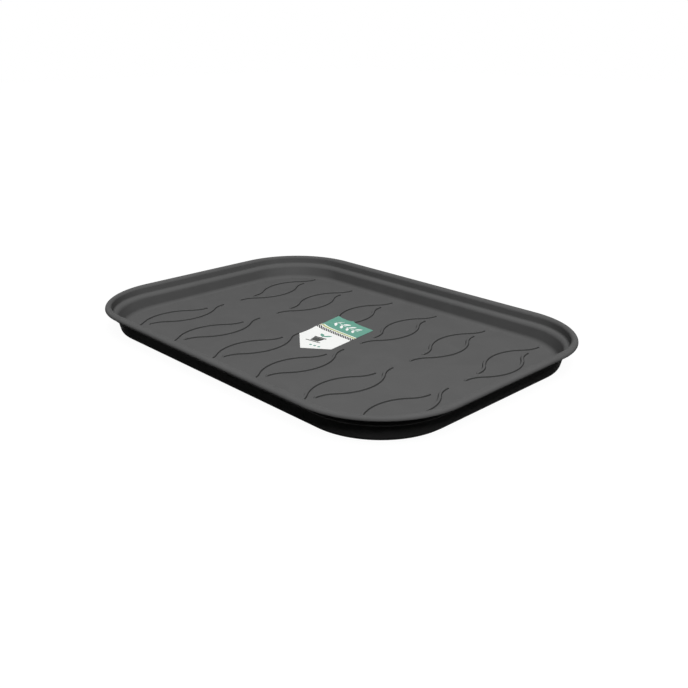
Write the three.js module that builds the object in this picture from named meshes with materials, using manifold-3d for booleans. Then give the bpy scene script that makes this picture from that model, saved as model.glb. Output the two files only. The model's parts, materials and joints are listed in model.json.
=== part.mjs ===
// Rectangular plant saucer: one injection-moulded tray with a turned-down rim, a stepped wall, a standing
// foot and raised drainage ribs on its floor, and a self-adhesive paper label laid over the ribs.
// Millimetres, +Z up. The origin is the middle of the foot's plane, and X runs along the tray.

import * as THREE from "three";
import { mergeVertices } from "three/addons/utils/BufferGeometryUtils.js";
import Module from "manifold-3d";

// Tray, overall
const TRAY_LENGTH = 600;
const TRAY_WIDTH = 424;
const TRAY_HEIGHT = 37;
const CORNER_RADIUS = 115; // the rim's outer edge, seen from above
const CORNER_TIGHTENING = 7.8; // how much smaller the upper wall's corner radius is than a parallel one
const WALL = 2.2; // thickness of the moulding, in its walls, rim and floor

// Rim
const RIM_WIDTH = 11.2; // from the outer edge to the inside of the wall
const LIP_DEPTH = 4.4; // how far the outer edge turns down
const LIP_RADIUS = 3.6;
const RIM_INNER_RADIUS = 4;

// Wall, from the rim down to the floor
const DRAFT = THREE.MathUtils.degToRad(6.5);
const SHOULDER_DEPTH = 12; // from the rim's top down to the step in the wall
const SHOULDER_WIDTH = 6.5;
const SHOULDER_RADIUS = 5;
const STEP_FILLET = 2.8; // in the corner between the upper wall and the shoulder
const FLOOR_FILLET = 5.5;
const HEEL_RADIUS = 4; // outside, where the wall turns under the floor

// Foot, a low ring under the floor's edge
const FOOT_HEIGHT = 2;
const FOOT_WIDTH = 5;
const FOOT_SETBACK = 0.5; // from the end of the heel to the foot

// Drainage ribs, in leaf-shaped pairs that are set in rows and columns on the floor
const RIB_WIDTH = 3.7;
const RIB_HEIGHT = 2.3;
const RIB_SPAN = 126.4; // from tip to tip along the pair's axis
const RIB_BULGE = 24.7; // from the pair's axis to the rib's crown
const RIB_TIP_OFFSET = 1.5; // from the pair's axis to the rib's tips
const RIB_END_RADIUS = 35.5; // of the rib's hollow ends
const PAIR_STAGGER = 28; // how far the two ribs of a pair are shifted along each other
const COLUMN_PITCH = 87.25;
const ROW_PITCH = 189;

// Label, a five-sided sheet with a point at its near end
const LABEL_WIDTH = 72;
const LABEL_LENGTH = 127;
const LABEL_TOP_SLANT = 14; // how far its far edge drops from left to right
const LABEL_POINT_LEFT = 40; // how far its point reaches below the left side
const LABEL_POINT_RIGHT = 20;
const LABEL_THICKNESS = 0.3;
const LABEL_CLEARANCE = 0.3; // adhesive between the ribs and the sheet
const LABEL_X = -7.5;
const LABEL_Y = 10.3;
const LABEL_TURN = THREE.MathUtils.degToRad(8);

// Facets of the round stretches
const CORNER_STEPS = 11;
const FILLET_STEPS = 3;
const RIB_ARC_STEPS = 5;

const wasm = await Module();
wasm.setup();

const floorTop = FOOT_HEIGHT + WALL;

// A corner of the wall's section: its distance in from the tray's outer edge, its height and its fillet.
function corner(inset, height, radius = 0) {
  return { point: new THREE.Vector2(inset, height), radius };
}

function direction(from, to) {
  return to.point.clone().sub(from.point).normalize();
}

// The angle by which a section turns at its middle corner, positive to the left.
function turnAt(before, here, after) {
  const into = direction(before, here);
  const outOf = direction(here, after);
  return Math.atan2(into.cross(outOf), into.dot(outOf));
}

// The section's other face, one wall to the right of the first.
function offsetSection(section) {
  return section.slice(1, -1).map((here, index) => {
    const before = section[index];
    const after = section[index + 2];
    const into = direction(before, here);
    const outOf = direction(here, after);
    const shift = new THREE.Vector2(into.y + outOf.y, -into.x - outOf.x);
    shift.multiplyScalar(WALL / (1 + into.dot(outOf)));
    const grown = turnAt(before, here, after) > 0 ? here.radius + WALL : here.radius - WALL;
    return { point: here.point.clone().add(shift), radius: here.radius > 0 ? Math.max(grown, 0) : 0 };
  });
}

// The points of a section with its corners filleted. Two fillets that are too long for the wall between
// them share it in proportion to what each asks for.
const FILLETED_SHARE = 0.95; // of a wall's length, at most
function filletSection(section) {
  const wanted = section.map((here, index) => {
    const before = section[index - 1];
    const after = section[index + 1];
    return before && after ? here.radius * Math.tan(Math.abs(turnAt(before, here, after)) / 2) : 0;
  });
  const room = section.slice(1).map((after, index) => {
    const length = after.point.distanceTo(section[index].point);
    return Math.min(1, FILLETED_SHARE * length / (wanted[index] + wanted[index + 1]));
  });
  return section.slice(1, -1).flatMap((here, index) => {
    const before = section[index];
    const after = section[index + 2];
    const reach = wanted[index + 1] * Math.min(room[index], room[index + 1]);
    if (reach === 0) {
      return [here.point];
    }
    const into = direction(before, here);
    const turn = turnAt(before, here, after);
    const radius = reach / Math.tan(turn / 2);
    const start = here.point.clone().addScaledVector(into, -reach);
    const centre = start.clone().addScaledVector(new THREE.Vector2(-into.y, into.x), radius);
    return Array.from({ length: FILLET_STEPS + 1 }, (_, step) =>
      start.clone().rotateAround(centre, turn * step / FILLET_STEPS));
  });
}

// The corner radius at an inset. The rim narrows towards the corners, so the wall below it turns more
// tightly there, and it leans in more on its way down, until the floor runs parallel to the rim again.
function cornerRadius(inset, height) {
  const overRim = (inset - WALL) / (RIM_WIDTH - 2 * WALL);
  const upWall = (height - floorTop) / (shoulderHeight - floorTop);
  const share = THREE.MathUtils.clamp(Math.min(overRim, upWall), 0, 1);
  return CORNER_RADIUS - inset - CORNER_TIGHTENING * share;
}

// One round-cornered rectangle, an inset in from the tray's outer edge.
function ring(inset, height) {
  const radius = cornerRadius(inset, height);
  const points = [];
  for (let quarter = 0; quarter < 4; quarter++) {
    const sideX = quarter === 0 || quarter === 3 ? 1 : -1;
    const sideY = quarter < 2 ? 1 : -1;
    for (let step = 0; step <= CORNER_STEPS; step++) {
      const angle = (quarter + step / CORNER_STEPS) * Math.PI / 2;
      const x = sideX * (TRAY_LENGTH / 2 - inset - radius) + radius * Math.cos(angle);
      const y = sideY * (TRAY_WIDTH / 2 - inset - radius) + radius * Math.sin(angle);
      points.push(new THREE.Vector3(x, y, height));
    }
  }
  return points;
}

// The skin of the tray: one ring for each point of its section, closed in the middle below and above.
function sweep(section) {
  const points = section.flatMap(({ x, y }) => ring(x, y));
  const count = points.length / section.length;
  const under = points.push(new THREE.Vector3(0, 0, section[0].y)) - 1;
  const top = points.push(new THREE.Vector3(0, 0, section.at(-1).y)) - 1;
  const index = [];
  for (let here = 0; here < count; here++) {
    const next = (here + 1) % count;
    index.push(under, next, here);
    for (let row = 0; row < section.length - 1; row++) {
      const low = row * count;
      const high = low + count;
      index.push(low + here, low + next, high + next);
      index.push(low + here, high + next, high + here);
    }
    const last = (section.length - 1) * count;
    index.push(last + here, last + next, top);
  }
  const geometry = new THREE.BufferGeometry().setFromPoints(points);
  geometry.setIndex(index);
  return geometry;
}

function toSolid(geometry) {
  const bare = geometry.clone();
  bare.deleteAttribute("normal");
  bare.deleteAttribute("uv");
  const merged = mergeVertices(bare);
  const vertProperties = new Float32Array(merged.attributes.position.array);
  const triVerts = new Uint32Array(merged.index.array);
  return new wasm.Manifold(new wasm.Mesh({ numProp: 3, vertProperties, triVerts }));
}

function toGeometry(solid) {
  const { vertProperties, triVerts } = solid.getMesh();
  const geometry = new THREE.BufferGeometry();
  geometry.setAttribute("position", new THREE.BufferAttribute(vertProperties, 3));
  geometry.setIndex(new THREE.BufferAttribute(triVerts, 1));
  geometry.computeVertexNormals();
  return geometry;
}

// The inside of the tray in section, from the lip's lower edge over the rim and down to the floor.
const upperWallHeight = TRAY_HEIGHT - SHOULDER_DEPTH;
const upperWallFoot = RIM_WIDTH + SHOULDER_DEPTH * Math.tan(DRAFT);
const shoulderEdge = upperWallFoot + SHOULDER_WIDTH;
const shoulderHeight = upperWallHeight - SHOULDER_WIDTH * Math.tan(DRAFT);
const lowerWallFoot = shoulderEdge + (shoulderHeight - floorTop) * Math.tan(DRAFT);
const lipEdge = corner(0, TRAY_HEIGHT - LIP_DEPTH);
const middle = TRAY_WIDTH / 2;
const inside = [
  lipEdge,
  corner(0, TRAY_HEIGHT, LIP_RADIUS),
  corner(RIM_WIDTH, TRAY_HEIGHT, RIM_INNER_RADIUS),
  corner(upperWallFoot, upperWallHeight, STEP_FILLET),
  corner(shoulderEdge, shoulderHeight, SHOULDER_RADIUS),
  corner(lowerWallFoot, floorTop, FLOOR_FILLET),
  corner(middle, floorTop),
];

// The outside, one wall thickness away, with the heel and the foot below it.
const outside = offsetSection(inside);
const heel = outside.at(-1);
heel.radius = HEEL_RADIUS;
const footOuter = heel.point.x + HEEL_RADIUS + FOOT_SETBACK;
const footInner = footOuter + FOOT_WIDTH;
const underside = [
  corner(middle, FOOT_HEIGHT),
  corner(footInner, FOOT_HEIGHT),
  corner(footInner, 0),
  corner(footOuter, 0),
  corner(footOuter, FOOT_HEIGHT),
  ...outside.toReversed(),
  corner(WALL, TRAY_HEIGHT - LIP_DEPTH),
];
const shell = sweep(filletSection([...underside, ...inside]));

// Whether a point of the plan lies on the flat of the floor, inside its fillet.
const floorInset = lowerWallFoot + FLOOR_FILLET;
function onFloor({ x, y }) {
  const beyondX = Math.max(Math.abs(x) - (TRAY_LENGTH / 2 - CORNER_RADIUS), 0);
  const beyondY = Math.max(Math.abs(y) - (TRAY_WIDTH / 2 - CORNER_RADIUS), 0);
  return Math.hypot(beyondX, beyondY) < CORNER_RADIUS - floorInset;
}

// One rib's outline about the middle of its span: a crown that bulges to one side, two hollow ends that
// run out along the pair's axis, and round tips, all as arcs that meet in a line.
function ribOutline(side) {
  const reach = RIB_SPAN / 2;
  const sweepAngle = 2 * Math.atan((RIB_BULGE - RIB_TIP_OFFSET) / reach);
  const crownRadius = reach / Math.sin(sweepAngle) - RIB_END_RADIUS;
  const crownX = RIB_BULGE - crownRadius;
  const endX = RIB_TIP_OFFSET + RIB_END_RADIUS;
  const half = RIB_WIDTH / 2;
  const arcs = [
    [endX, -reach, RIB_END_RADIUS - half, Math.PI, Math.PI - sweepAngle],
    [crownX, 0, crownRadius + half, -sweepAngle, sweepAngle],
    [endX, reach, RIB_END_RADIUS - half, Math.PI + sweepAngle, Math.PI],
    [RIB_TIP_OFFSET, reach, half, 0, Math.PI],
    [endX, reach, RIB_END_RADIUS + half, Math.PI, Math.PI + sweepAngle],
    [crownX, 0, crownRadius - half, sweepAngle, -sweepAngle],
    [endX, -reach, RIB_END_RADIUS + half, Math.PI - sweepAngle, Math.PI],
    [RIB_TIP_OFFSET, -reach, half, Math.PI, 2 * Math.PI],
  ];
  const points = arcs.flatMap(([x, y, radius, from, to]) => {
    const arc = new THREE.EllipseCurve(x, y, radius, radius, from, to, to < from);
    return arc.getPoints(RIB_ARC_STEPS).slice(0, -1);
  });
  return points.map((point) => new THREE.Vector2(side * point.x, point.y));
}

// The ribs of one leaf-shaped pair, mirrored between the two halves of the tray.
function ribPair(x, y) {
  const half = y < 0 ? -1 : 1;
  return [-1, 1].map((side) => {
    const shift = new THREE.Vector2(x, y - side * half * PAIR_STAGGER / 2);
    return ribOutline(side).map((point) => point.add(shift));
  });
}

// The places of a row of copies, centred on the tray, as many as the length holds.
function places(length, copyLength, pitch) {
  const count = Math.floor((length - copyLength) / pitch) + 1;
  return Array.from({ length: Math.max(count, 0) }, (_, index) => (index - (count - 1) / 2) * pitch);
}

const floorLength = TRAY_LENGTH - 2 * floorInset;
const floorWidth = TRAY_WIDTH - 2 * floorInset;
const columns = places(floorLength, 2 * RIB_BULGE + RIB_WIDTH, COLUMN_PITCH);
const rows = places(floorWidth, RIB_SPAN + PAIR_STAGGER + RIB_WIDTH, ROW_PITCH);
const ribRoot = WALL / 2; // how deep a rib starts inside the floor

function trayGeometry() {
  let solid = toSolid(shell);
  const pairs = columns.flatMap((x) => rows.map((y) => ribPair(x, y)));
  const fitting = pairs.filter((pair) => pair.flat().every(onFloor));
  for (const outline of fitting.flat()) {
    const options = { depth: ribRoot + RIB_HEIGHT, bevelEnabled: false };
    const rib = new THREE.ExtrudeGeometry(new THREE.Shape(outline), options);
    rib.translate(0, 0, floorTop - ribRoot);
    solid = solid.add(toSolid(rib));
  }
  return toGeometry(solid);
}

function labelGeometry() {
  const side = LABEL_WIDTH / 2;
  const far = LABEL_LENGTH / 2;
  const near = -LABEL_LENGTH / 2;
  const outline = new THREE.Shape([
    new THREE.Vector2(-side, near + LABEL_POINT_LEFT),
    new THREE.Vector2(0, near),
    new THREE.Vector2(side, near + LABEL_POINT_RIGHT),
    new THREE.Vector2(side, far - LABEL_TOP_SLANT),
    new THREE.Vector2(-side, far),
  ]);
  return new THREE.ExtrudeGeometry(outline, { depth: LABEL_THICKNESS, bevelEnabled: false });
}

// Polypropylene, through-coloured in anthracite, with a fine moulded grain.
const anthracitePlastic = new THREE.MeshStandardMaterial({ color: 0x5f5f5f, roughness: 0.6, metalness: 0 });

// Coated label paper, printed.
const printedPaper = new THREE.MeshStandardMaterial({ color: 0xe6ebe6, roughness: 0.5, metalness: 0 });

const saucer = new THREE.Group();

const tray = new THREE.Mesh(trayGeometry(), anthracitePlastic);
tray.name = "saucer_tray";
saucer.add(tray);

const label = new THREE.Mesh(labelGeometry(), printedPaper);
label.name = "paper_label";
label.position.set(LABEL_X, LABEL_Y, floorTop + RIB_HEIGHT + LABEL_CLEARANCE);
label.rotation.z = LABEL_TURN;
saucer.add(label);

export default saucer;
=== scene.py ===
import json
import math

import bpy
from mathutils import Matrix, Vector


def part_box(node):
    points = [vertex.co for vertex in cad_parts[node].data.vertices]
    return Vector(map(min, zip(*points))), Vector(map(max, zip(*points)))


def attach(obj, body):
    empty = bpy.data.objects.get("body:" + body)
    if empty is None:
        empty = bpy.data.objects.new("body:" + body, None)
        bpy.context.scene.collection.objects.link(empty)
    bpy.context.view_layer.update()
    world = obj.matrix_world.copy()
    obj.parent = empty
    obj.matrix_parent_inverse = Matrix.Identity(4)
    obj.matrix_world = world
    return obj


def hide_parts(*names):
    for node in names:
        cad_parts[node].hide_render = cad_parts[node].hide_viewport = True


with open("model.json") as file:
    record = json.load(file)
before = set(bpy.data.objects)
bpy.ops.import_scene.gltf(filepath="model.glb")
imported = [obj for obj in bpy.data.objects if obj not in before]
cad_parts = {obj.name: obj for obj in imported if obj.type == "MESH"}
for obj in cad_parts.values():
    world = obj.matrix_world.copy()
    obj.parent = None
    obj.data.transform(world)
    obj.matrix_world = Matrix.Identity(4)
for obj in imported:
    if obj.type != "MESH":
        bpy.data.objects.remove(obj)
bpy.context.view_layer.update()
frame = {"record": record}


# The tray's shell: one shot of polypropylene from a two-part mould. Its wall has one thickness all
# round, drafted to leave the mould, with a rim that turns down, a step below it and a standing foot.
tray_low, tray_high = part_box("saucer_tray")
tray_length = tray_high.x - tray_low.x
tray_width = tray_high.y - tray_low.y
rim_top = tray_high.z
corner_radius = 0.115
corner_segments = 36
corner_tightening = 0.0078  # how much smaller the upper wall's corner radius is than a parallel one
round_profile = 0.5  # of a bevel that follows a circle
wall = 0.0022
draft = math.tan(math.radians(6.5))
rim_width = 0.0112
lip_depth = 0.0044
lip_radius = 0.0036
lip_edge_radius = 0.0006
lip_draft = math.tan(math.radians(3))
lip_bead = 0.0007  # from the lip's lower edge to its widest line
lip_tuck = 0.0001  # how far the lip draws in again below that line
rim_inner_radius = 0.004
shoulder_depth = 0.012
shoulder_width = 0.0065
shoulder_radius = 0.005
step_fillet = 0.0028
floor_fillet = 0.0055
heel_radius = 0.004
foot_height = 0.002
foot_width = 0.005
foot_setback = 0.0005
edge_radius = 0.0004  # the mould's own rounding on edges that have no radius of their own
shell_facet_turn = math.radians(10)  # the largest turn between two facets of a fillet
holding = 0.00025  # from a fillet's end to the edge that keeps the flat beside it flat
holding_room = 3 * holding  # the least flat that gets such an edge
lip_band = holding / 2  # the height of the upright strip on the lip's widest line
floor_land = 4 * holding  # how much of the floor is drawn inside its fillet
foot_land = 8 * holding  # how much of the underside is drawn inside the foot
pick_margin = 0.00025  # for picking points by their place
straight_down = -0.99  # the height of a normal below which a face looks down

floor_top = foot_height + wall
lip_edge = rim_top - lip_depth
lip_line = lip_edge + lip_bead
lip_lean = (rim_top - lip_line) * lip_draft
shoulder_top = rim_top - shoulder_depth
upper_wall_foot = rim_width + shoulder_depth * draft
shoulder_edge = upper_wall_foot + shoulder_width
shoulder_low = shoulder_top - shoulder_width * draft
lower_wall_foot = shoulder_edge + (shoulder_low - floor_top) * draft
floor_inset = lower_wall_foot + floor_fillet
heel = lower_wall_foot - wall
foot_outer = heel + heel_radius + foot_setback
foot_inner = foot_outer + foot_width
foot_lean = foot_height * draft


def section_points(corners, facet_turn):
    """The points of a rounded section. Each corner is an inset from the edge, a height and a radius."""
    points = [Vector(corners[0][:2])]
    for before, here, after in zip(corners, corners[1:], corners[2:]):
        corner = Vector(here[:2])
        radius = here[2]
        into = (corner - Vector(before[:2])).normalized()
        out_of = (Vector(after[:2]) - corner).normalized()
        turn = math.atan2(into.x * out_of.y - into.y * out_of.x, into.dot(out_of))
        reach = radius * math.tan(abs(turn) / 2)
        start = corner - into * reach
        centre = start + Vector((-into.y, into.x)) * math.copysign(radius, turn)
        steps = max(2, math.ceil(abs(turn) / facet_turn))
        arc = [
            centre + Matrix.Rotation(turn * step / steps, 2) @ (start - centre)
            for step in range(steps + 1)
        ]
        if (start - points[-1]).length > holding_room:
            points.append(start - into * holding)
        points += arc
        if (Vector(after[:2]) - arc[-1]).length > holding_room:
            points.append(arc[-1] + out_of * holding)
    return points


def inset_step(here, after, facing):
    """Draws the selected face in by one step of a section. facing is 1 for a face that looks up, or -1."""
    bpy.ops.mesh.inset(thickness=after.x - here.x, depth=(after.y - here.y) * facing)


def edit_part(piece, mode, test):
    """Goes to edit mode with only those vertices or faces of a piece selected that pass a test."""
    bpy.ops.object.mode_set(mode="EDIT")
    bpy.ops.mesh.select_mode(type=mode)
    bpy.ops.mesh.select_all(action="DESELECT")
    bpy.ops.object.mode_set(mode="OBJECT")
    for part in piece.data.polygons if mode == "FACE" else piece.data.vertices:
        part.select = test(part)
    bpy.ops.object.mode_set(mode="EDIT")


def tightening(point):
    """What the corner radius lacks of a parallel one. It grows over the rim and fades down the wall."""
    over_rim = (point.x - wall) / (rim_width - 2 * wall)
    up_wall = (point.y - floor_top) / (shoulder_low - floor_top)
    return corner_tightening * max(min(over_rim, up_wall, 1), 0)


def tighten_corners(before, here):
    """Scales the corner arcs of the tray's selected face, each about the sharp corner that it rounds."""
    radius = corner_radius - here.x - tightening(before)
    shrink = 1 - (tightening(here) - tightening(before)) / radius
    bpy.ops.object.mode_set(mode="OBJECT")
    outline = {vertex.index for vertex in tray.data.vertices if vertex.select}
    for side_x, side_y in ((1, 1), (-1, 1), (-1, -1), (1, -1)):
        sharp = Vector((side_x * (tray_length / 2 - here.x), side_y * (tray_width / 2 - here.x), 0))
        edit_part(tray, "VERT", lambda vertex: vertex.index in outline
                  and abs(vertex.co.x - sharp.x) < radius + pick_margin
                  and abs(vertex.co.y - sharp.y) < radius + pick_margin)
        bpy.ops.transform.resize(value=(shrink, shrink, 1), center_override=sharp)
    edit_part(tray, "VERT", lambda vertex: vertex.index in outline)
    bpy.ops.mesh.select_mode(type="FACE")


def inset_tray(points, facing):
    """Draws the tray's selected face in along a section, with the corners tightened on the way."""
    for here, after in zip(points, points[1:]):
        inset_step(here, after, facing)
        if tightening(after) != tightening(here):
            tighten_corners(here, after)


inside_section = section_points([
    (0, lip_line, 0),
    (lip_lean, rim_top, lip_radius),
    (rim_width, rim_top, rim_inner_radius),
    (upper_wall_foot, shoulder_top, step_fillet),
    (shoulder_edge, shoulder_low, shoulder_radius),
    (lower_wall_foot, floor_top, floor_fillet),
    (floor_inset + floor_land, floor_top, 0),
], shell_facet_turn)
underside_section = section_points([
    (0, lip_line, 0),
    (lip_tuck, lip_edge, lip_edge_radius),
    (wall, lip_edge, lip_edge_radius),
    (wall + lip_lean, rim_top - wall, lip_radius - wall),
    (rim_width - wall, rim_top - wall, rim_inner_radius - wall),
    (upper_wall_foot - wall, shoulder_top - wall, step_fillet + wall),
    (shoulder_edge - wall, shoulder_low - wall, shoulder_radius - wall),
    (heel, foot_height, heel_radius),
    (foot_outer, foot_height, edge_radius),
    (foot_outer + foot_lean, 0, edge_radius),
    (foot_inner - foot_lean, 0, edge_radius),
    (foot_inner, foot_height, edge_radius),
    (foot_inner + foot_land, foot_height, 0),
], shell_facet_turn)

bpy.ops.object.select_all(action="DESELECT")
bpy.ops.mesh.primitive_plane_add(size=1, location=(0, 0, lip_line))
tray = bpy.context.object
tray.name = "tray_moulding"
tray.scale = (tray_length, tray_width, 1)
bpy.ops.object.transform_apply(location=True, rotation=True, scale=True)
bpy.ops.object.mode_set(mode="EDIT")
bpy.ops.mesh.select_all(action="SELECT")
bpy.ops.mesh.bevel(
    affect="VERTICES",
    offset=corner_radius,
    segments=corner_segments,
    profile=round_profile,
)
bpy.ops.mesh.select_all(action="SELECT")
bpy.ops.mesh.extrude_region_move(TRANSFORM_OT_translate={"value": (0, 0, lip_band)})
inset_step(inside_section[0] + Vector((0, lip_band)), inside_section[1], 1)
inset_tray(inside_section[1:], 1)
edit_part(tray, "FACE", lambda face: face.normal.z < straight_down)
inset_tray(underside_section, -1)
bpy.ops.mesh.select_all(action="SELECT")
bpy.ops.mesh.normals_make_consistent(inside=False)
bpy.ops.object.mode_set(mode="OBJECT")


# The drainage ribs: low beads of the same shot, in leaf-shaped pairs that mirror across the tray's long
# axis. Pots stand on their crests. One rib is drawn out along its three arcs, raised with its draft and
# rounded crest, sloped off at its tips, copied to all its places and joined to the floor.
pot_stand = next(mount for mount in frame["record"]["mounts"] if mount["name"] == "pot_stand")
rib_crest = pot_stand["pos_m"][2]
rib_width = 0.0037  # halfway up its sides
rib_slope = math.tan(math.radians(30))
rib_tip_lean = math.radians(57)  # of the cut that slopes a tip off, from upright
rib_crest_radius = 0.0009
rib_foot_fillet = 0.0008
rib_foot_flare = 0.00055  # how far the fillet's land reaches out on the floor
rib_foot_step = 0.00001  # the land's height over the floor, which keeps the two faces apart
rib_crest_land = 4 * holding  # how much of the crest is drawn inside its rounding
rib_sunk = 0.001  # how deep it starts inside the floor
rib_reach = 0.0632  # from the middle of its span to a tip
rib_bulge = 0.0247
rib_tip_offset = 0.0015
rib_end_radius = 0.0355
rib_end_steps = 8
rib_crown_steps = 16
rib_tip_segments = 6
rib_facet_turn = math.radians(18)
rib_weld = 0.000025  # points of the arcs that are nearer than this are one
rib_tip_weld = 0.00025  # the same on its rounded tips
pair_stagger = 0.028
column_pitch = 0.08725
column_count = 6
row_pitch = 0.189

rib_root = floor_top - rib_sunk
rib_middle = (floor_top + rib_crest) / 2
rib_foot = floor_top + rib_foot_step
foot_half = rib_width / 2 + (rib_middle - rib_foot) * rib_slope + rib_foot_flare
crest_inset = rib_foot_flare + (rib_crest - rib_foot) * rib_slope
end_turn = 2 * math.atan((rib_bulge - rib_tip_offset) / rib_reach)
crown_radius = rib_reach / math.sin(end_turn) - rib_end_radius
end_centre_x = rib_tip_offset + rib_end_radius
crown_centre_x = rib_bulge - crown_radius
rib_arcs = [  # centre, turn and steps
    ((end_centre_x, -rib_reach, 0), end_turn, rib_end_steps),
    ((crown_centre_x, 0, 0), -2 * end_turn, rib_crown_steps),
    ((end_centre_x, rib_reach, 0), end_turn, rib_end_steps),
]
rib_section = section_points([
    (0, rib_foot, 0),
    (rib_foot_flare, rib_foot, rib_foot_fillet),
    (crest_inset, rib_crest, rib_crest_radius),
    (crest_inset + rib_crest_land, rib_crest, 0),
], rib_facet_turn)

bpy.ops.object.select_all(action="DESELECT")
bpy.ops.mesh.primitive_plane_add(size=1, location=(rib_tip_offset, -rib_reach - foot_half / 2, rib_root))
rib = bpy.context.object
rib.scale = (2 * foot_half, foot_half, 1)
bpy.ops.object.transform_apply(location=True, rotation=True, scale=True)
edit_part(rib, "VERT", lambda vertex: vertex.co.y > -rib_reach - pick_margin)
bpy.ops.mesh.select_mode(type="EDGE")
for centre, turn, steps in rib_arcs:
    bpy.ops.mesh.spin(steps=steps, angle=turn, center=centre, axis=(0, 0, 1))
bpy.ops.mesh.extrude_region_move(TRANSFORM_OT_translate={"value": (0, foot_half, 0)})
bpy.ops.mesh.select_all(action="SELECT")
bpy.ops.mesh.remove_doubles(threshold=rib_weld)
bpy.ops.mesh.normals_make_consistent(inside=False)
bpy.ops.mesh.dissolve_faces()
bpy.ops.object.mode_set(mode="OBJECT")
edit_part(rib, "VERT", lambda vertex: abs(vertex.co.y) > rib_reach + foot_half - pick_margin)
bpy.ops.mesh.bevel(
    affect="VERTICES",
    offset=foot_half,
    segments=rib_tip_segments,
    profile=round_profile,
)
bpy.ops.mesh.select_mode(type="FACE")
bpy.ops.mesh.select_all(action="SELECT")
bpy.ops.mesh.remove_doubles(threshold=rib_tip_weld)
bpy.ops.mesh.extrude_region_move(TRANSFORM_OT_translate={"value": (0, 0, rib_foot - rib_root)})
for here, after in zip(rib_section, rib_section[1:]):
    inset_step(here, after, 1)
for end in (-1, 1):
    bpy.ops.mesh.select_all(action="SELECT")
    bpy.ops.mesh.bisect(
        plane_co=(0, end * (rib_reach + foot_half), rib_foot),
        plane_no=(0, end * math.cos(rib_tip_lean), math.sin(rib_tip_lean)),
        clear_outer=True,
        use_fill=True,
    )
bpy.ops.mesh.select_all(action="SELECT")
bpy.ops.mesh.normals_make_consistent(inside=False)
bpy.ops.object.mode_set(mode="OBJECT")

rib_copies = []
for column in range(column_count):
    for half in (-1, 1):
        for side in (-1, 1):
            bpy.ops.object.select_all(action="DESELECT")
            rib.select_set(True)
            bpy.context.view_layer.objects.active = rib
            bpy.ops.object.duplicate()
            copy = bpy.context.object
            copy.location.x = (column - (column_count - 1) / 2) * column_pitch
            copy.location.y = half * (row_pitch - side * pair_stagger) / 2
            copy.rotation_euler.z = math.pi * (side < 0)
            bpy.ops.object.transform_apply(location=True, rotation=True, scale=True)
            rib_copies.append(copy)
bpy.data.objects.remove(rib)
for copy in rib_copies:
    copy.select_set(True)
bpy.ops.object.join()
ribs = bpy.context.object
bpy.context.view_layer.objects.active = tray
joined = tray.modifiers.new("ribs", "BOOLEAN")
joined.operation = "UNION"
joined.solver = "EXACT"
joined.object = ribs
bpy.ops.object.modifier_apply(modifier=joined.name)
bpy.data.objects.remove(ribs)


# The tray's plastic: injection-moulded polypropylene, coloured through in anthracite. The mould is
# spark-eroded, which leaves an even matt grain. The melt's flow mottles the colour a little, and hands
# and stacking polish the rim's crown.
tray_colour_light = "#626262"
tray_colour_dark = "#5A5A5A"
coarse_detail = 3  # layers of a noise
fine_detail = 2
flow_size = 0.060  # across one patch of the mottling
flow_swirl = 1.2
grain_size = 0.0006  # the real grain has 0.1 mm, and is drawn coarser so that it shows
grain_depth = 0.00004
grain_strength = 0.5
sheen_patch_size = 0.012  # across one patch of even gloss
roughness_low = 0.60
roughness_high = 0.72
rim_polish = 0.08  # what it takes off the roughness
rim_polish_depth = 0.0008  # below the rim's top, where the polish ends
painted_flank_shade = 0.42  # of the grained colour, kept on the ribs' flanks: painted shade that darkens them where shade falls
flank_upward = 0.30  # the middle of the range of heights that their normals have
flank_upward_half = 0.28  # half of that range
plastic_ior = 1.49
plastic_specular = 0.01
smooth_angle = math.radians(35)


def linear(hex_colour):
    """The linear colour, with alpha, of an sRGB hex value."""
    channels = [int(hex_colour[place:place + 2], 16) / 255 for place in (1, 3, 5)]
    return [
        value / 12.92 if value <= 0.04045 else ((value + 0.055) / 1.055) ** 2.4
        for value in channels
    ] + [1]


def add_node(tree, kind, inputs, **settings):
    """Adds a node with its settings. inputs gives a socket its value, or the output that feeds it."""
    node = tree.nodes.new("ShaderNode" + kind)
    for name, value in settings.items():
        setattr(node, name, value)
    for socket, value in inputs.items():
        if isinstance(value, bpy.types.NodeSocket):
            tree.links.new(value, node.inputs[socket])
        else:
            node.inputs[socket].default_value = value
    return node


def calculate(tree, operation, *values):
    """The result of a Math node."""
    return add_node(tree, "Math", dict(enumerate(values)), operation=operation).outputs[0]


def calculate_vector(tree, operation, inputs, result=0):
    """One of the results of a Vector Math node."""
    return add_node(tree, "VectorMath", inputs, operation=operation).outputs[result]


def split(tree, vector):
    """A vector's X, Y and Z."""
    return add_node(tree, "SeparateXYZ", {"Vector": vector}).outputs[:]


def spread(tree, value, low, high, start=0, end=1):
    """Takes a value that runs from start to end to one that runs from low to high."""
    return add_node(tree, "MapRange", {
        "Value": value,
        "From Min": start,
        "From Max": end,
        "To Min": low,
        "To Max": high,
    }).outputs[0]


def mix_colours(tree, share, first, second):
    """A colour between two others. A Mix node takes colours at its inputs 6 and 7."""
    return add_node(tree, "Mix", {0: share, 6: first, 7: second}, data_type="RGBA").outputs[2]


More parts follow.
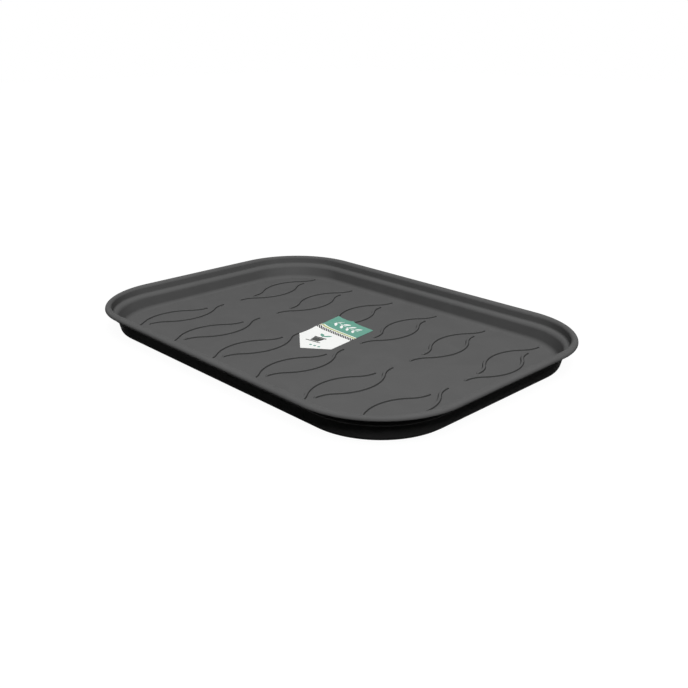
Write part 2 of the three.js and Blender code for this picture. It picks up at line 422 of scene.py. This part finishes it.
plastic = bpy.data.materials.new("moulded_polypropylene")
plastic.use_nodes = True
tree = plastic.node_tree
surface = tree.nodes["Principled BSDF"]
place = add_node(tree, "TexCoord", {}).outputs["Object"]
height = split(tree, place)[2]
flow = add_node(tree, "TexNoise", {
    "Vector": place,
    "Scale": 1 / flow_size,
    "Detail": coarse_detail,
    "Distortion": flow_swirl,
}).outputs["Fac"]
colour = mix_colours(tree, flow, linear(tray_colour_dark), linear(tray_colour_light))
normal = add_node(tree, "NewGeometry", {}).outputs["True Normal"]
upward = split(tree, normal)[2]
# Painted shade: the ribs' flanks, picked by their height and by the slope of their faces, are darkened in
# colour to stand in for the shade that falls on them.
flank_half = (rib_crest - floor_top) / 2 - rib_foot_step
between = calculate(tree, "COMPARE", height, rib_middle, flank_half)
steep = calculate(tree, "COMPARE", upward, flank_upward, flank_upward_half)
flank_shade_mask = calculate(tree, "MULTIPLY", between, steep)
shade = spread(tree, flank_shade_mask, 1, painted_flank_shade)
colour = calculate_vector(tree, "SCALE", {0: colour, "Scale": shade})
tree.links.new(colour, surface.inputs["Base Color"])
sheen = add_node(tree, "TexNoise", {
    "Vector": place,
    "Scale": 1 / sheen_patch_size,
    "Detail": fine_detail,
}).outputs["Fac"]
matt = spread(tree, sheen, roughness_low, roughness_high)
polish = spread(tree, height, 0, rim_polish, rim_top - rim_polish_depth, rim_top)
roughness = calculate(tree, "SUBTRACT", matt, polish)
tree.links.new(roughness, surface.inputs["Roughness"])
grain = add_node(tree, "TexNoise", {
    "Vector": place,
    "Scale": 1 / grain_size,
    "Detail": fine_detail,
}).outputs["Fac"]
bump = add_node(tree, "Bump", {
    "Height": grain,
    "Distance": grain_depth,
    "Strength": grain_strength,
}).outputs["Normal"]
tree.links.new(bump, surface.inputs["Normal"])
surface.inputs["IOR"].default_value = plastic_ior
surface.inputs["Specular IOR Level"].default_value = plastic_specular

bpy.ops.object.select_all(action="DESELECT")
tray.select_set(True)
bpy.context.view_layer.objects.active = tray
tray.data.materials.clear()
tray.data.materials.append(plastic)
bpy.ops.object.shade_smooth_by_angle(angle=smooth_angle)
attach(tray, "root")
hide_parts("saucer_tray")


# The label: one die-cut sheet of coated paper, printed and stuck into the tray, turned a little. Its far
# end is cut at a slant and its near end to a point. It lies on the floor and tents over the ribs.
label_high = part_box("paper_label")[1]
label_place = Vector((-0.0075, 0.0103, label_high.z))
label_turn = math.radians(8)
label_width = 0.072
label_length = 0.127
label_thickness = 0.00015
label_top_slant = 0.014
label_point_left = 0.040
label_point_right = 0.020
label_corner = 0.0008
label_corner_segments = 4
label_weld = 0.00008  # points of the sheet that are nearer than this are one
label_grid_cuts = 63
label_glue = 0.0003  # the layer under it
# The smoothing steps before each time that the sheet is lifted off the ribs
label_easing = (150, 150, 150, 60, 25, 10, 5, 3, 2, 2, 1, 1)

half_width = label_width / 2
half_length = label_length / 2
# A point on each cut, and the way to what falls off
label_cuts = [
    ((-half_width, half_length, 0), (label_top_slant, label_width, 0)),
    ((0, -half_length, 0), (-label_point_left, -half_width, 0)),
    ((0, -half_length, 0), (label_point_right, -half_width, 0)),
]


def settle(sheet, up):
    """Moves a sheet's points straight down onto the tray, or up out of it where they are inside."""
    wrap = sheet.modifiers.new("settle", "SHRINKWRAP")
    wrap.target = tray
    wrap.wrap_method = "PROJECT"
    wrap.use_project_z = True
    wrap.use_positive_direction = up
    wrap.use_negative_direction = not up
    wrap.cull_face = "FRONT" if up else "BACK"
    bpy.ops.object.modifier_apply(modifier=wrap.name)


bpy.ops.object.select_all(action="DESELECT")
bpy.ops.mesh.primitive_plane_add(size=1, location=(0, 0, 0))
label = bpy.context.object
label.name = "printed_label"
label.scale = (label_width, label_length, 1)
bpy.ops.object.transform_apply(location=True, rotation=True, scale=True)
bpy.ops.object.mode_set(mode="EDIT")
for point, away in label_cuts:
    bpy.ops.mesh.select_all(action="SELECT")
    bpy.ops.mesh.bisect(plane_co=point, plane_no=away, clear_outer=True)
bpy.ops.mesh.select_mode(type="VERT")
bpy.ops.mesh.select_all(action="SELECT")
bpy.ops.mesh.remove_doubles(threshold=label_weld)
bpy.ops.mesh.bevel(
    affect="VERTICES",
    offset=label_corner,
    segments=label_corner_segments,
    profile=round_profile,
)
for axis, extent in ((Vector((1, 0, 0)), half_width), (Vector((0, 1, 0)), half_length)):
    for cut in range(1, label_grid_cuts + 1):
        bpy.ops.mesh.select_all(action="SELECT")
        spot = axis * extent * (2 * cut / (label_grid_cuts + 1) - 1)
        bpy.ops.mesh.bisect(plane_co=spot, plane_no=axis)
bpy.ops.mesh.select_all(action="SELECT")
bpy.ops.mesh.remove_doubles(threshold=label_weld)
bpy.ops.object.mode_set(mode="OBJECT")
label.location = label_place
label.rotation_euler.z = label_turn
bpy.ops.object.transform_apply(location=True, rotation=True, scale=True)
settle(label, up=False)
for smoothing_steps in label_easing:
    ease = label.modifiers.new("ease", "SMOOTH")
    ease.use_x = False
    ease.use_y = False
    ease.iterations = smoothing_steps
    bpy.ops.object.modifier_apply(modifier=ease.name)
    settle(label, up=True)
body = label.modifiers.new("thickness", "SOLIDIFY")
body.thickness = label_thickness
body.offset = 1
bpy.ops.object.modifier_apply(modifier=body.name)
label.location.z = label_glue
bpy.ops.object.transform_apply(location=True, rotation=True, scale=True)
bpy.ops.object.shade_smooth_by_angle(angle=smooth_angle)

# Its paper is clay-coated and offset printed: an even semi-matt surface with flat inks. The print is a
# leaf sprig on a green field, a stripe, a hatched band, a potted plant and three dots. Its sizes and
# places are in millimetres from the label's middle.
paper_colour = "#FBFCFA"
green_ink = "#5E9B89"
lime_ink = "#B7BE7C"
charcoal_ink = "#2E302E"
paper_mottle_size = 1.5  # across one patch of its tone
tone_low = 0.96
tone_high = 1.04
paper_roughness_low = 0.40
paper_roughness_high = 0.52
paper_ior = 1.5
paper_specular = 0.2
millimetre = 0.001
slant = label_top_slant / label_width
field_edge = 18  # along the label at its middle, as are the next two middles
stripe_middle, stripe_half = 14.6, 1.6
band_middle, band_half = 8, 3.4
hatch_pitch, hatch_gap = 4.0, 1.1
sprig_middle = (0, 36.6, 0)
sprig_pitch, sprig_half, stem_half = 12, 24, 0.45
sprig_leaf = ((6.2, 5.4, 0), math.radians(46), 5.6, 2.2)  # middle, turn, half length and half width
pot_middle = (-3, -22, 0)
pot_bars = [  # middle and half of the height, half of the width at the pot's middle, and taper
    (-4, 6, 8.4, 0.16),
    (3.8, 1.5, 10, 0),
    (-12.2, 1.1, 12.5, 0),
    (9, 3.6, 0.5, 0),
]
pot_leaf = ((4.6, 13.4, 0), math.radians(42), 6.4, 2.6)
dots_middle = (10, -46, 0)
dot_pitch, dot_radius, dots_half = 7, 2, 10


def measured_from(tree, vector, middle, turn=0, unit=(1, 1, 1)):
    """A place as measured from a middle, along turned axes and in a unit for each of them."""
    return add_node(tree, "Mapping", {
        "Vector": vector,
        "Location": middle,
        "Rotation": (0, 0, turn),
        "Scale": unit,
    }, vector_type="TEXTURE").outputs[0]


paper = bpy.data.materials.new("offset_printed_paper")
paper.use_nodes = True
tree = paper.node_tree
surface = tree.nodes["Principled BSDF"]
place = add_node(tree, "TexCoord", {}).outputs["Object"]
on_label = measured_from(tree, place, label_place, label_turn, (millimetre, millimetre, 1))
flat = calculate_vector(tree, "MULTIPLY", {0: on_label, 1: (1, 1, 0)})
across, upright = split(tree, flat)[:2]
along = calculate(tree, "MULTIPLY_ADD", across, slant, upright)
prints = []

field = calculate(tree, "GREATER_THAN", along, field_edge)
stripe = calculate(tree, "COMPARE", along, stripe_middle, stripe_half)
band = calculate(tree, "COMPARE", along, band_middle, band_half)
diagonal = calculate(tree, "ADD", across, upright)
hatch = calculate(tree, "WRAP", diagonal, hatch_pitch, 0)
hatched = calculate(tree, "GREATER_THAN", hatch, hatch_gap)
band = calculate(tree, "MULTIPLY", band, hatched)
prints += [(field, green_ink), (stripe, lime_ink), (band, charcoal_ink)]

sprig = measured_from(tree, flat, sprig_middle, -math.atan(slant))
sprig_along, sprig_across = split(tree, sprig)[:2]
stem = calculate(tree, "COMPARE", sprig_across, 0, stem_half)
on_sprig = calculate(tree, "COMPARE", sprig_along, 0, sprig_half)
stem = calculate(tree, "MULTIPLY", stem, on_sprig)
prints.append((stem, paper_colour))
repeat = calculate(tree, "WRAP", sprig_along, sprig_pitch, 0)
mirror = calculate(tree, "ABSOLUTE", sprig_across)
sprig_cell = add_node(tree, "CombineXYZ", {0: repeat, 1: mirror}).outputs[0]

pot = measured_from(tree, flat, pot_middle)
pot_across, pot_up = split(tree, pot)[:2]
pot_side = calculate(tree, "ABSOLUTE", pot_across)
for bar_middle, bar_half, bar_width, taper in pot_bars:
    bar = calculate(tree, "COMPARE", pot_up, bar_middle, bar_half)
    edge = calculate(tree, "MULTIPLY_ADD", pot_up, taper, bar_width)
    inside = calculate(tree, "LESS_THAN", pot_side, edge)
    bar = calculate(tree, "MULTIPLY", bar, inside)
    prints.append((bar, charcoal_ink))
pot_cell = add_node(tree, "CombineXYZ", {0: pot_side, 1: pot_up}).outputs[0]

for cell, (middle, turn, reach, breadth), limit, ink in [
    (sprig_cell, sprig_leaf, on_sprig, paper_colour),
    (pot_cell, pot_leaf, 1, green_ink),
]:
    arc_radius = (reach ** 2 + breadth ** 2) / (2 * breadth)
    arc_shift = (0, arc_radius - breadth, 0)
    leaf = measured_from(tree, cell, middle, turn)
    leaf = calculate_vector(tree, "ABSOLUTE", {0: leaf})
    leaf = calculate_vector(tree, "ADD", {0: leaf, 1: arc_shift})
    leaf = calculate_vector(tree, "LENGTH", {0: leaf}, "Value")
    leaf = calculate(tree, "LESS_THAN", leaf, arc_radius)
    leaf = calculate(tree, "MULTIPLY", leaf, limit)
    prints.append((leaf, ink))

dots = measured_from(tree, flat, dots_middle)
dots_across, dots_up = split(tree, dots)[:2]
dot = calculate(tree, "WRAP", dots_across, dot_pitch / 2, -dot_pitch / 2)
dot = add_node(tree, "CombineXYZ", {0: dot, 1: dots_up}).outputs[0]
dot = calculate_vector(tree, "LENGTH", {0: dot}, "Value")
dot = calculate(tree, "LESS_THAN", dot, dot_radius)
on_dots = calculate(tree, "COMPARE", dots_across, 0, dots_half)
dot = calculate(tree, "MULTIPLY", dot, on_dots)
prints.append((dot, green_ink))

mottle = add_node(tree, "TexNoise", {
    "Vector": on_label,
    "Scale": 1 / paper_mottle_size,
    "Detail": coarse_detail,
}).outputs["Fac"]
colour = linear(paper_colour)
for mask, ink in prints:
    colour = mix_colours(tree, mask, colour, linear(ink))
tone = spread(tree, mottle, tone_low, tone_high)
colour = calculate_vector(tree, "SCALE", {0: colour, "Scale": tone})
tree.links.new(colour, surface.inputs["Base Color"])
gloss = spread(tree, mottle, paper_roughness_low, paper_roughness_high)
tree.links.new(gloss, surface.inputs["Roughness"])
surface.inputs["IOR"].default_value = paper_ior
surface.inputs["Specular IOR Level"].default_value = paper_specular
label.data.materials.append(paper)
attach(label, "root")
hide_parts("paper_label")


# The floor and the world: white to the camera and in gloss, and dim to the light that the tray's walls
# gather, as on a sweep that is lit from above only. The floor still takes the tray's shadow.
backdrop_fill = 0.005
floor_size = 12
floor_glow = 0.96  # below the softbox, where its light adds the rest
floor_diffuse = 0.07
floor_bounce = 0.01
glow_inner = 0.4  # the radius from which the glow rises to white
glow_outer = 1.2


def seen_by(tree):
    """1 for a ray from the camera, in gloss or through glass, and 0 for one that gathers light."""
    ray = add_node(tree, "LightPath", {}).outputs
    seen = calculate(tree, "MAXIMUM", ray["Is Camera Ray"], ray["Is Glossy Ray"])
    return calculate(tree, "MAXIMUM", seen, ray["Is Transmission Ray"])


def grey(level):
    """The colour of an even grey."""
    return (level, level, level, 1)


bpy.ops.object.select_all(action="DESELECT")
bpy.ops.mesh.primitive_plane_add(size=floor_size, location=(0, 0, 0))
sweep = bpy.context.object
sweep.name = "sweep"
white = bpy.data.materials.new("white_sweep")
white.use_nodes = True
tree = white.node_tree
tree.nodes.remove(tree.nodes["Principled BSDF"])
place = add_node(tree, "TexCoord", {}).outputs["Object"]
distance = calculate_vector(tree, "LENGTH", {0: place}, "Value")
level = spread(tree, distance, floor_glow, 1, glow_inner, glow_outer)
glow = add_node(tree, "Emission", {"Strength": level}).outputs[0]
shaded = add_node(tree, "BsdfDiffuse", {"Color": grey(floor_diffuse)}).outputs[0]
bright = add_node(tree, "AddShader", {0: glow, 1: shaded}).outputs[0]
dim = add_node(tree, "BsdfDiffuse", {"Color": grey(floor_bounce)}).outputs[0]
mixed = add_node(tree, "MixShader", {0: seen_by(tree), 1: dim, 2: bright}).outputs[0]
tree.links.new(mixed, tree.nodes["Material Output"].inputs["Surface"])
sweep.data.materials.append(white)

world = bpy.data.worlds.new("studio")
world.use_nodes = True
bpy.context.scene.world = world
tree = world.node_tree
level = spread(tree, seen_by(tree), backdrop_fill, 1)
tree.nodes["Background"].inputs["Color"].default_value = grey(1)
tree.links.new(level, tree.nodes["Background"].inputs["Strength"])


# The light: one wide round softbox, high up on the camera's side and a little to its right. It is the
# only lamp, so the outer wall goes nearly black under the lip, as in the photograph.
softbox_azimuth = math.radians(55)
softbox_elevation = math.radians(65)
softbox_distance = 4
softbox_width = 3.4
softbox_power = 190


def direction(azimuth, elevation):
    """A unit vector. Its azimuth counts from -Y towards +X."""
    return Vector((
        math.sin(azimuth) * math.cos(elevation),
        -math.cos(azimuth) * math.cos(elevation),
        math.sin(elevation),
    ))


softbox = bpy.data.objects.new("softbox", bpy.data.lights.new("softbox", "AREA"))
bpy.context.scene.collection.objects.link(softbox)
softbox.data.shape = "DISK"
softbox.data.size = softbox_width
softbox.data.energy = softbox_power
toward = direction(softbox_azimuth, softbox_elevation)
softbox.location = toward * softbox_distance
softbox.rotation_euler = toward.to_track_quat("Z", "Y").to_euler()
softbox.visible_camera = False


# The camera: in front of the tray's near corner and a little above it. Its place, its aim and its focal
# length were fitted to the photograph's view of the rim, the ribs and the base.
photo_width = 688
focal_pixels = 833.42
sensor_width = 36
camera_place = (0.77490, -0.71847, 0.39446)
camera_azimuth = math.radians(46.0565)
camera_elevation = math.radians(20.683)

camera = bpy.data.objects.new("camera", bpy.data.cameras.new("camera"))
bpy.context.scene.collection.objects.link(camera)
bpy.context.scene.camera = camera
back = direction(camera_azimuth, camera_elevation)
camera.location = camera_place
camera.rotation_euler = back.to_track_quat("Z", "Y").to_euler()
camera.data.sensor_width = sensor_width
camera.data.lens = sensor_width * focal_pixels / photo_width
bpy.context.scene.view_settings.view_transform = "Standard"
